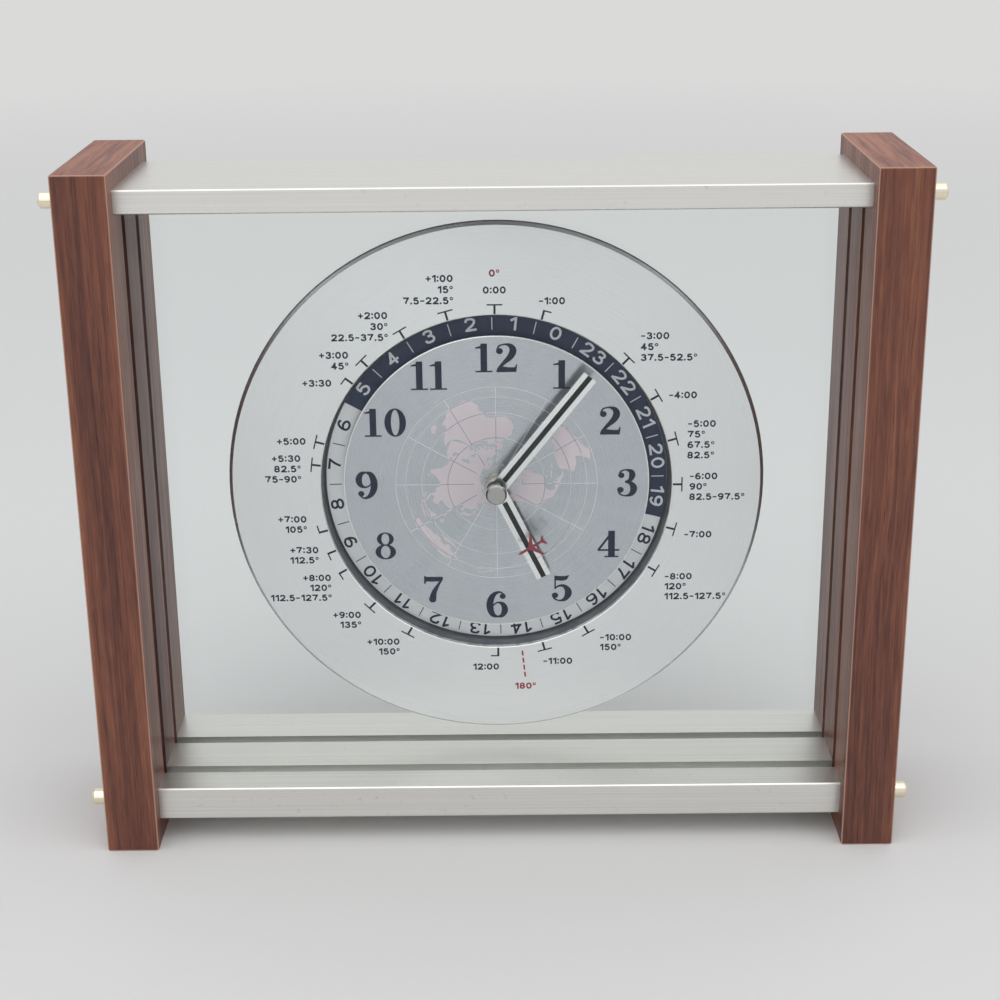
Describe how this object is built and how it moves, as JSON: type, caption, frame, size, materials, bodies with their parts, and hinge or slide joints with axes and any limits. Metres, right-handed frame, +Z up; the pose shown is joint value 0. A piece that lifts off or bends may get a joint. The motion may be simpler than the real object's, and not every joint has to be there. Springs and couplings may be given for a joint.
{
  "type": "world time clock",
  "caption": "Table clock with wooden posts, metal rails and clear panes around a round dial with hands, a turning 24-hour ring and a clear seconds disc that carries an aeroplane.",
  "frame": {"origin": "on the table, midway between the posts and between their front and back faces", "axes": "+X to the viewer's right along the rails, +Y to the back, +Z up; the dial faces -Y"},
  "size_m": [0.2724, 0.0666, 0.2244],
  "materials": {
    "rosewood": "satin oiled",
    "rail_metal": "brushed",
    "pin_brass": "polished",
    "clear_pane": "clear polished",
    "dial_silver": "spun satin",
    "plate_silver": "spun satin",
    "ring_print": "spun satin, half printed dark blue",
    "gasket_dark": "matt",
    "cup_grey": "matt",
    "hand_silver": "satin with a black centre stripe",
    "hub_metal": "polished",
    "plane_red": "gloss",
    "clear_disc": "clear",
    "fastener_steel": "bright",
    "turned_brass": "turned",
    "wheel_white": "moulded",
    "motor_steel": "plain",
    "magnet_dark": "sintered",
    "bobbin_white": "moulded",
    "copper_wire": "enamelled wire",
    "case_black": "fine moulded texture",
    "board_green": "solder mask",
    "chip_black": "potted",
    "crystal_can": "plated",
    "cell_wrap": "gloss wrap"
  },
  "bodies": {
    "frame": {"left_post": "rosewood", "right_post": "rosewood", "top_rail": "rail_metal", "bottom_rail": "rail_metal", "frame_pins": "pin_brass", "front_pane": "clear_pane", "rear_pane": "clear_pane", "outer_dial": "dial_silver", "dial_gasket": "gasket_dark", "dial_studs": "fastener_steel", "dial_nuts": "fastener_steel", "dial_cup": "cup_grey", "inner_dial": "plate_silver", "dial_spacer": "turned_brass", "center_nut": "hub_metal", "center_bush": "turned_brass", "stator": "motor_steel", "coil_core": "motor_steel", "coil_bobbin": "bobbin_white", "coil_winding": "copper_wire", "movement_front_case": "case_black", "movement_rear_case": "case_black", "case_screws": "fastener_steel", "circuit_board": "board_green", "ic_chip": "chip_black", "quartz_crystal": "crystal_can", "battery": "cell_wrap", "plus_contact": "fastener_steel", "minus_contact": "fastener_steel"},
    "minute": {"minute_hand": "hand_silver", "cannon_pinion": "turned_brass", "clutch_spring": "fastener_steel"},
    "setting": {"minute_wheel": "wheel_white", "set_knob": "case_black"},
    "hour": {"hour_hand": "hand_silver", "hour_wheel": "wheel_white"},
    "day_driver": {"day_drive": "wheel_white"},
    "day_ring": {"day_disc": "ring_print", "day_gear": "wheel_white"},
    "second": {"second_disc": "clear_disc", "airplane": "plane_red", "second_cap": "hub_metal", "second_wheel": "wheel_white"},
    "third": {"third_wheel": "wheel_white"},
    "center": {"center_wheel": "wheel_white"},
    "intermediate": {"intermediate_wheel": "wheel_white"},
    "rotor": {"rotor_pinion": "wheel_white", "rotor_magnet": "magnet_dark"}
  },
  "joints": [
    {"name": "minute_turn", "type": "hinge", "parent": "frame", "child": "minute", "pos_m": [0, 0.015, 0.1138], "axis": [0, 1, 0], "continuous": true},
    {"name": "setting_turn", "type": "hinge", "parent": "frame", "child": "setting", "pos_m": [0, 0.015, 0.1258], "axis": [0, 1, 0], "continuous": true},
    {"name": "hour_turn", "type": "hinge", "parent": "frame", "child": "hour", "pos_m": [0, 0.015, 0.1138], "axis": [0, 1, 0], "continuous": true},
    {"name": "day_driver_turn", "type": "hinge", "parent": "frame", "child": "day_driver", "pos_m": [-0.01595, 0.015, 0.11099], "axis": [0, 1, 0], "continuous": true},
    {"name": "day_ring_turn", "type": "hinge", "parent": "frame", "child": "day_ring", "pos_m": [0, 0.015, 0.1138], "axis": [0, 1, 0], "continuous": true},
    {"name": "second_turn", "type": "hinge", "parent": "frame", "child": "second", "pos_m": [0, 0.015, 0.1138], "axis": [0, 1, 0], "continuous": true},
    {"name": "third_turn", "type": "hinge", "parent": "frame", "child": "third", "pos_m": [0.0115, 0.015, 0.1138], "axis": [0, 1, 0], "continuous": true},
    {"name": "center_turn", "type": "hinge", "parent": "frame", "child": "center", "pos_m": [0, 0.015, 0.1138], "axis": [0, 1, 0], "continuous": true},
    {"name": "intermediate_turn", "type": "hinge", "parent": "frame", "child": "intermediate", "pos_m": [-0.01039, 0.015, 0.1198], "axis": [0, 1, 0], "continuous": true},
    {"name": "rotor_turn", "type": "hinge", "parent": "frame", "child": "rotor", "pos_m": [-0.01385, 0.015, 0.12929], "axis": [0, 1, 0], "continuous": true}
  ],
  "couplings": [
    {"joint": "setting_turn", "follows": "minute_turn", "ratio": -0.25},
    {"joint": "hour_turn", "follows": "minute_turn", "ratio": 0.083333},
    {"joint": "day_driver_turn", "follows": "minute_turn", "ratio": -0.10417},
    {"joint": "day_ring_turn", "follows": "minute_turn", "ratio": 0.041667},
    {"joint": "third_turn", "follows": "second_turn", "ratio": -0.13333},
    {"joint": "center_turn", "follows": "second_turn", "ratio": 0.016667},
    {"joint": "intermediate_turn", "follows": "second_turn", "ratio": -5},
    {"joint": "rotor_turn", "follows": "second_turn", "ratio": 30}
  ]
}
